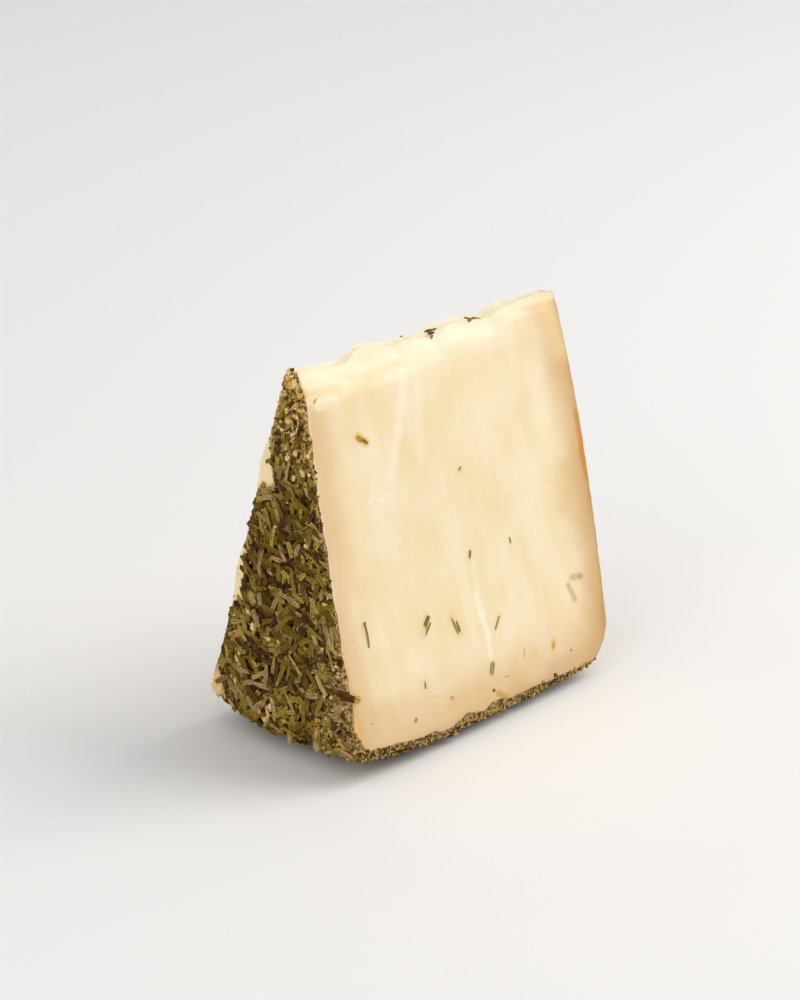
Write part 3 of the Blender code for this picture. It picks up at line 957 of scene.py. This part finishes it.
# Lumps near the tip, in millimetres: sideways, down from the axle, half width, and tone from dark to pale
TIP_LUMPS = [
    (-1.0, 9.2, 0.5, 0.34), (0.3, 9.8, 0.9, 0.80), (-0.9, 10.8, 1.2, 0.82), (1.5, 10.6, 0.8, 0.20),
    (-1.2, 12.9, 1.1, 0.74), (2.6, 11.6, 0.9, 0.14), (2.7, 12.9, 0.9, 0.00), (1.5, 13.8, 0.8, 0.90),
    (0.2, 12.4, 0.9, 0.50), (2.6, 14.7, 0.6, 0.02), (4.0, 15.9, 1.2, 0.93), (3.9, 18.1, 0.9, 0.62),
    (-0.1, 15.8, 1.1, 1.00), (-0.9, 17.3, 0.9, 0.97), (1.2, 16.6, 0.7, 0.04), (2.2, 18.9, 0.9, 0.72),
    (1.1, 20.1, 0.8, 0.66), (-3.6, 17.6, 0.8, 0.18), (-2.8, 15.0, 0.9, 0.56), (4.8, 21.8, 1.3, 0.98),
    (4.2, 20.0, 0.6, 0.30), (0.5, 22.0, 1.0, 0.62), (-0.7, 23.3, 0.7, 0.70), (-2.2, 20.3, 0.6, 0.86),
    (-0.2, 25.0, 0.9, 0.50), (-1.1, 26.5, 0.7, 0.58), (4.1, 25.3, 0.6, 0.10), (-3.5, 23.8, 0.5, 0.10),
    (2.0, 24.6, 0.8, 0.10), (-4.0, 20.6, 0.7, 0.34), (-4.6, 25.0, 0.7, 0.60), (0.8, 28.2, 0.8, 0.34),
]


def crumb_mesh(draw, centre, upward, size, flatness, fineness=1, jitter=0.35):
    """Irregular crumbs: points, faces and values. Flatness is each one's height as a share of its width."""
    ball = bmesh.new()
    bmesh.ops.create_icosphere(ball, subdivisions=fineness, radius=1.0)
    corners = np.array([corner.co for corner in ball.verts])
    sides = np.array([[corner.index for corner in face.verts] for face in ball.faces])
    ball.free()
    count = len(centre)
    stretch = draw.uniform(*CRUMB_STRETCH, (count, 1, 3))
    uneven = draw.uniform(1 - jitter, 1 + jitter, (count, len(corners), 1))
    offset = size[:, None, None] * stretch * uneven * corners
    rise = (offset * upward[:, None]).sum(axis=2, keepdims=True)
    offset = offset - (1 - flatness) * rise * upward[:, None]
    points = centre[:, None] + offset
    faces = (sides + len(corners) * np.arange(count)[:, None, None]).reshape(-1, 3)
    tone = np.repeat(draw.uniform(0, 1, count), len(corners))
    points = points.reshape(-1, 3)
    return points, faces.tolist(), {"tone": tone, "crumb_place": 1000 * points}


crumb = Finish("mould_and_crumbs", roughness=0.7, specular_ior_level=0.15)
speck = crumb.grain(crumb.place("crumb_place"), 0.45, 3.0)
tones = crumb.number("ADD", "tone", crumb.swing(speck, 0.9))
crumb.shade = crumb.ramp(tones, [
    (0.00, (56, 34, 26)), (0.14, (96, 66, 24)), (0.28, (156, 118, 50)), (0.46, (204, 160, 78)),
    (0.68, (238, 202, 124)), (0.88, (246, 222, 166)), (0.95, (232, 194, 120)), (1.00, (214, 160, 66)),
])
crumb.cover(speck, 0.0002)


def coat_crumb_chance(u, v):
    """How likely a crumb is to cling at a place: more near the tip, the front edge and the pale streaks."""
    if not inside_cuts(u, v, CRUMB_MARGIN) or hypot(u, v) > rim_distance(0) - BARE_OF_CRUMBS_AT_RIM:
        return 0
    front_edge = smooth_step((FRONT_EDGE_REACH - from_cuts(u, v)[0]) / FRONT_EDGE_FADE)
    near_streak = patch_share(u, v, PALE_STREAKS * ROUND_A_STREAK)
    share = max(0.08, upper_share(v), 0.6 * lower_front_share(u, v), 0.5 * front_edge, 0.5 * near_streak)
    return share * (1 - 0.92 * patch_share(u, v, RUBBED_PATCHES))


def lay_crumbs(name, draw, u, v, lift, size, flatness, tone=0.0, tone_spread=1.0, **roundness):
    """Adds one piece of crumbs on the coat face. Each has its tone, plus a random share of the spread."""
    centre, _, upward = lie_on(on_coat_face, u, v, lift)
    points, faces, values = crumb_mesh(draw, centre, upward, size, flatness, **roundness)
    points = trim_to_cuts(draw, points, len(u))
    values["tone"] = np.repeat(tone + 0 * u, len(points) // len(u)) + tone_spread * values["tone"]
    piece = add_piece(name, points, faces, crumb, values)
    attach(piece, "root")


draw = np.random.default_rng(43)
spots = []
while len(spots) < COAT_CRUMBS:
    spot = draw.uniform(coat_pile.low, coat_pile.high)
    if draw.uniform() < coat_crumb_chance(*spot):
        spots.append(spot)
spots = np.array(spots)
size = draw.uniform(*CRUMB_SIZES, COAT_CRUMBS) * draw.choice((1.0, 1.0, 1.0, 1.8), COAT_CRUMBS)
reached = coat_pile.grown[tuple(((spots - coat_pile.low) / PILE_CELL).astype(int).T)]
lift = reached * draw.uniform(0.20, 0.85, COAT_CRUMBS)
lay_crumbs("coat_face_crumbs", draw, *spots.T, lift, size, 0.5)

streak = np.repeat(PALE_STREAKS, LUMPS_IN_A_STREAK, axis=0)
spread = draw.uniform(-0.8, 0.8, (len(streak), 2))
u, v = (streak[:, :2] + streak[:, 2:] * spread).T
size = np.minimum(draw.uniform(*STREAK_LUMP_SIZES, len(u)), streak[:, 2])
lift = draw.uniform(0.0002, 0.0007, len(u))
lay_crumbs("pale_streaks", draw, u, v, lift, size, 0.45, 0.50, 0.25, fineness=2, jitter=0.10)

u, v, size, tone = np.array(TIP_LUMPS).T
u, v, size = u / 1000, v / 1000, TIP_LUMP_SHARE * (size / 1000)
lift = low_at_cuts(u, v, draw.uniform(0.0002, 0.0006, len(u)))
lay_crumbs("tip_lumps", draw, u, v, lift, size, 0.6, tone, 0.0, fineness=2, jitter=0.34)


# The rim's needles
# The same coat on the rim, pressed flatter because the wheel stood on it, and thinning out to bare rind
# towards the plain face. The knife cut it open at both cut faces.

RIM_NEEDLES = 1700
RIM_SIDE = ((0, -0.029), (0.094, 0.029))
RIM_GAP_AT_COAT = 0.002
RIM_GAP_AT_CUTS = 0.0002
RIM_FADE_START = 0.066
RIM_FADE_WIDTH = 0.014


def on_rim(u, v):
    """A place on the rim, from how far it is along the axle and round the wheel."""
    turn = (v / WHEEL_RADIUS - FRONT_CUT) / (REAR_CUT - FRONT_CUT)
    return wedge_points(u / WHEEL_HEIGHT, 1.0, turn, RIND_OUTSIDE)


def rim_chance(u, v):
    turned = v / WHEEL_RADIUS
    room = RIM_GAP_AT_CUTS / WHEEL_RADIUS
    if not FRONT_CUT + room < turned < REAR_CUT - room or u < RIM_GAP_AT_COAT:
        return 0
    return 1 - smooth_step((u - RIM_FADE_START) / RIM_FADE_WIDTH) * 0.99


draw = np.random.default_rng(52)
laid = Pile(*RIM_SIDE).drop(draw, rim_chance, RIM_NEEDLES, NEEDLE_LENGTHS, NEEDLE_WIDTHS, PILE_LIMIT)
lay_needles("rim_needles", draw, on_rim, laid)


# The plain face's needles
# Only stray needles stuck to the plain face. They lie flat on the bare tan rind, closer together near the
# rim, and were never pressed on.

PLAIN_FACE_NEEDLES = 120
PLAIN_FACE_MARGIN = 0.0040
PLAIN_PILE_LIMIT = 0.0004
SPARSE_UNTIL = 0.050
DENSE_AFTER = 0.050


def on_plain_face(u, v):
    return on_coat_face(u, v, 1.0)


def plain_face_chance(u, v):
    radius = np.hypot(u, v)
    if not inside_cuts(u, v, PLAIN_FACE_MARGIN) or radius > rim_distance(1) - PLAIN_FACE_MARGIN:
        return 0
    return 0.15 + 0.85 * smooth_step((radius - SPARSE_UNTIL) / DENSE_AFTER)


draw = np.random.default_rng(63)
laid = Pile(*FLAT_SIDE).drop(
    draw, plain_face_chance, PLAIN_FACE_NEEDLES, NEEDLE_LENGTHS, NEEDLE_WIDTHS, PLAIN_PILE_LIMIT
)
lay_needles("plain_face_needles", draw, on_plain_face, laid)


# The coat's cut edges
# Where the knife went through the coat, both cut faces show it in section: a dark strip of chopped needle
# ends along the rim, as thick as the coat there, and a thin broken line of them along the coat face.

STRIP_SCRAPS = 1000
EDGE_SCRAPS = 60
STRIP_ENDS = (0.0010, 0.087)
EDGE_ENDS = (0.024, 0.1060)
EDGE_DEPTHS = (0.0002, 0.0009)
END_LENGTHS = (0.0005, 0.0018)
END_WIDTHS = (0.00035, 0.00075)
STRIP_TONES = (0.02, 0.14, 0.26, 0.42, 0.66, 0.86, 0.91, 0.96)
CUT_SIDES = ((FRONT_CUT, -1), (REAR_CUT, 1))
DEPTH_IN_CUT = (-0.00018, 0.00010)


def out_of_cut(cut, side):
    """The direction straight out of a cut face."""
    return side * np.array((0, cos(cut), sin(cut)))


def on_cut_plane(along, radius, cut):
    """Places on a cut, as straight as the knife went, from how far along the axle and from it they are."""
    return np.stack((along, radius * sin(cut), AXLE_HEIGHT - radius * cos(cut)), -1)


draw = np.random.default_rng(74)
parts = []
for cut, side in CUT_SIDES:
    along = draw.uniform(*STRIP_ENDS, STRIP_SCRAPS)
    depth = rim_coat(along / WHEEL_HEIGHT) * draw.uniform(0.10, 1.15, STRIP_SCRAPS)
    strip = on_cut_plane(along, rim_distance(along / WHEEL_HEIGHT) - depth, cut)
    radius = draw.uniform(*EDGE_ENDS, EDGE_SCRAPS)
    share = radius / rim_distance(0)
    inward = COAT_FACE_DISH * (1 - share) ** 2 + draw.uniform(*EDGE_DEPTHS, EDGE_SCRAPS)
    parts.append(np.concatenate((strip, on_cut_plane(inward, radius, cut))))
count = len(parts[0])
centre = np.concatenate(parts)
upward = np.repeat([out_of_cut(cut, side) for cut, side in CUT_SIDES], count, axis=0)
centre = centre + upward * draw.uniform(*DEPTH_IN_CUT, (2 * count, 1))
forward = draw.normal(0, 1, (2 * count, 3))
forward -= 0.8 * (forward * upward).sum(axis=1, keepdims=True) * upward
length = draw.uniform(*END_LENGTHS, 2 * count)
width = draw.uniform(*END_WIDTHS, 2 * count)
tone = draw.choice(STRIP_TONES, (2 * count, 1)) + draw.uniform(-0.03, 0.03, (2 * count, 3))
points, faces, values = needle_mesh(draw, centre, forward, upward, length, width, SCRAP, tone)
points = trim_to_cuts(draw, points, 2 * count)
finish_needles("cut_edge_scraps", points, faces, values)


# The needles inside the paste
# Rosemary that got into the curd: single needles, sliced by the knife and flush with the cut faces, and a
# few that were dragged out over the edge or stuck to the broken tip.

# The two ends of each, in millimetres along the axle and from it, then its width, its tone at each end,
# how far the paste has bleached it and how far it stands out of the face
FRONT_NEEDLES = [
    (18.8, 28.8, 20.3, 30.1, 1.2, 1.0, 1.0, 0.1, 0.02), (20.3, 29.9, 21.9, 31.3, 0.8, 0.5, 0.7, 0.1, 0.05),
    (47.9, 9.0, 50.2, 9.2, 0.9, 0.08, 0.14, 0.1, 0.05), (49.8, 9.2, 52.1, 9.4, 0.8, 0.12, 0.2, 0.1, 0.05),
    (49.0, 9.7, 51.0, 10.3, 1.3, 0.2, 0.3, 0.1, 0.05),
    (49.3, 10.4, 50.2, 11.3, 1.3, 0.42, 0.46, 0.2, 0.05),
    (62.6, 8.8, 65.1, 9.9, 0.9, 0.24, 0.28, 0.3, 0.05),
    (63.6, 10.1, 66.2, 10.2, 0.9, 0.16, 0.26, 0.2, 0.05),
    (64.8, 9.9, 68.0, 10.5, 1.1, 0.3, 0.4, 0.3, 0.05), (65.6, 9.3, 66.9, 10.1, 0.7, 0.44, 0.5, 0.4, 0.05),
    (39.4, 7.7, 40.2, 8.0, 0.5, 0.3, 0.3, 0.5, 0.05), (8.1, 16.6, 7.1, 17.5, 0.4, 0.46, 1.0, 0.2, 0.05),
    (50.9, 46.2, 51.9, 45.4, 0.6, 0.72, 0.6, 0.2, 0.03),
    (64.8, 67.5, 64.9, 69.2, 0.6, 0.42, 0.5, 0.5, 0.02),
    (50.1, 66.9, 49.4, 68.9, 0.9, 0.36, 0.5, 0.5, 0.02),
    (31.7, 78.7, 29.8, 80.7, 1.2, 0.3, 0.44, 0.3, 0.03),
    (32.0, 80.5, 29.5, 83.2, 0.6, 0.28, 0.4, 0.4, 0.02),
    (31.1, 79.8, 30.0, 82.1, 0.4, 0.9, 0.9, 0.5, 0.05),
    (39.4, 81.6, 40.8, 86.3, 0.7, 0.4, 0.44, 0.5, 0.02),
    (40.8, 82.8, 41.4, 85.8, 0.8, 0.42, 0.36, 0.4, 0.03),
    (56.1, 86.3, 54.0, 89.1, 0.6, 0.46, 0.5, 0.5, 0.02),
    (50.5, 96.9, 49.3, 99.9, 0.6, 0.34, 0.4, 0.5, 0.03),
    (51.4, 97.4, 50.2, 100.2, 0.6, 0.4, 0.34, 0.5, 0.03),
    (26.5, 94.2, 26.3, 96.1, 0.6, 0.36, 0.3, 0.5, 0.02),
    (10.1, 74.0, 10.1, 80.2, 0.6, 0.44, 0.66, 0.3, 0.04),
    (10.0, 73.7, 10.4, 74.3, 0.9, 0.26, 0.26, 0.3, 0.04),
    (20.6, 103.1, 21.4, 102.2, 0.9, 0.8, 0.6, 0.4, 0.02),
    (80.0, 103.0, 80.5, 103.2, 0.8, 0.3, 0.34, 0.5, 0.02),
    (72.3, 107.4, 73.2, 107.9, 1.1, 0.3, 0.22, 0.1, 0.03),
    (49.4, 104.0, 49.9, 104.5, 0.9, 0.24, 0.3, 0.2, 0.02),
    (6.2, 98.8, 6.6, 98.8, 0.4, 0.3, 0.3, 0.4, 0.01),
    (34.5, 100.8, 34.3, 101.5, 0.4, 0.44, 0.6, 0.4, 0.02),
    (-2.4, 87.6, 2.4, 91.0, 2.1, 0.24, 0.24, 0.0, 0.8), (1.6, 90.4, 3.2, 91.5, 1.9, 1.0, 1.0, 0.0, 0.85),
]
REAR_NEEDLES = 22
REAR_NEEDLES_FROM = (6, 28)
REAR_NEEDLES_TO = (88, 102)
PASTE_EDGE = 0.0009
SEEN_FROM_AFAR = 0.02
OUTWARD_STEP = 0.0002
CAMERA_TURN = radians(45.90)
CAMERA_TILT = radians(21.94)
TO_CAMERA = Vector((
    -sin(CAMERA_TURN) * cos(CAMERA_TILT), -cos(CAMERA_TURN) * cos(CAMERA_TILT), sin(CAMERA_TILT)
))

paste_skin = BVHTree.FromPolygons(paste_points.tolist(), paste_faces.tolist())


def on_paste(along, radius, cut, seen_from):
    """Where the paste is met behind a place on a cut, seen from a direction, and the way out of it there.

    Where there is no paste behind it, the place moves outward until there is."""
    within = max(along, PASTE_EDGE)
    place = None
    while place is None:
        start = Vector(on_cut_plane(within, radius, cut)) + SEEN_FROM_AFAR * seen_from
        place, outward, _, _ = paste_skin.ray_cast(start, -seen_from)
        radius += OUTWARD_STEP
    return np.array(place) + (along - within, 0, 0), np.array(outward)


draw = np.random.default_rng(85)
rows = [(FRONT_CUT, *row) for row in FRONT_NEEDLES]
for _ in range(REAR_NEEDLES):
    start = draw.uniform(REAR_NEEDLES_FROM, REAR_NEEDLES_TO)
    end = start + draw.normal(0, (1.0, 2.2))
    rows.append((REAR_CUT, *start, *end, draw.uniform(0.4, 1.1), *draw.uniform(0.2, 0.6, 2), 0.35, 0.02))
centre, forward, upward = [], [], []
for cut, along, radius, end_along, end_radius, *_, lift in rows:
    seen_from = TO_CAMERA if cut == FRONT_CUT else Vector(out_of_cut(cut, 1))
    tail, out_of_tail = on_paste(along / 1000, radius / 1000, cut, seen_from)
    head, out_of_head = on_paste(end_along / 1000, end_radius / 1000, cut, seen_from)
    upward.append((out_of_tail + out_of_head) / 2)
    centre.append((tail + head) / 2 + upward[-1] * lift / 1000)
    forward.append(head - tail)
forward = np.array(forward)
length = np.linalg.norm(forward, axis=1)
width, tone, end_tone, soaked = np.array(rows)[:, 5:9].T
tone = np.linspace(tone, end_tone, len(NEEDLE_STATIONS), axis=1)
points, faces, values = needle_mesh(
    draw, np.array(centre), forward, np.array(upward), length, width / 1000, tone=tone
)
values["dust"] *= 0.6
values["soaked"] = np.repeat(soaked, len(points) // len(rows))
finish_needles("paste_needles", points, faces, values)


# The floor and the light
# A plain pale floor under a wide pale sky, with one large soft lamp high on the right and a weaker one
# on the left.

FLOOR_REACH = 14.0
FLOOR_COLOUR = screen_colour((241, 240, 239))
floor_finish = Finish("pale_floor", roughness=0.8, specular_ior_level=0.2, base_color=FLOOR_COLOUR)
floor_mesh = bpy.data.meshes.new("floor")
corners = [(x * FLOOR_REACH, y * FLOOR_REACH, 0) for x, y in ((-1, -1), (1, -1), (1, 1), (-1, 1))]
floor_mesh.from_pydata(corners, [], [(0, 1, 2, 3)])
floor_mesh.materials.append(floor_finish.material)
floor = show("floor", floor_mesh)

world = bpy.data.worlds.new("pale_sky")
world.use_nodes = True
background = world.node_tree.nodes["Background"].inputs
background["Color"].default_value = (0.98, 0.98, 0.98, 1)
background["Strength"].default_value = 0.63
bpy.context.scene.world = world


def add_lamp(name, place, target, size, power, shade):
    light = bpy.data.lights.new(name, "AREA")
    light.shape = "DISK"
    light.size = size
    light.energy = power
    light.color = shade
    lamp = show(name, light)
    lamp.location = place
    lamp.rotation_mode = "QUATERNION"
    lamp.rotation_quaternion = (Vector(target) - Vector(place)).to_track_quat("-Z", "Y")


add_lamp("window_light", (0.93, -0.62, 1.05), (0, 0, 0.04), 1.2, 13.0, (1.0, 0.975, 0.945))
add_lamp("left_light", (-1.3, -0.3, 0.7), (0, 0, 0.05), 1.0, 3.4, (1.0, 0.98, 0.96))


# The camera
# It looks down on the wedge from the left through a long lens, so that the wide cut face and the coated
# face both show.

CAMERA_DISTANCE = 0.7337
CAMERA_TO_RIGHT = -0.0052
CAMERA_UP = 0.0506

right = Vector((cos(CAMERA_TURN), -sin(CAMERA_TURN), 0))
up = TO_CAMERA.cross(right)
camera_data = bpy.data.cameras.new("camera")
camera_data.lens = 100
camera_data.sensor_width = 36
camera_data.clip_start = 0.01
camera_data.clip_end = 100
camera = show("camera", camera_data)
camera.matrix_world = Matrix((right, up, TO_CAMERA)).transposed().to_4x4()
camera.location = TO_CAMERA * CAMERA_DISTANCE + right * CAMERA_TO_RIGHT + up * CAMERA_UP
bpy.context.scene.camera = camera
bpy.context.scene.view_settings.view_transform = "Standard"
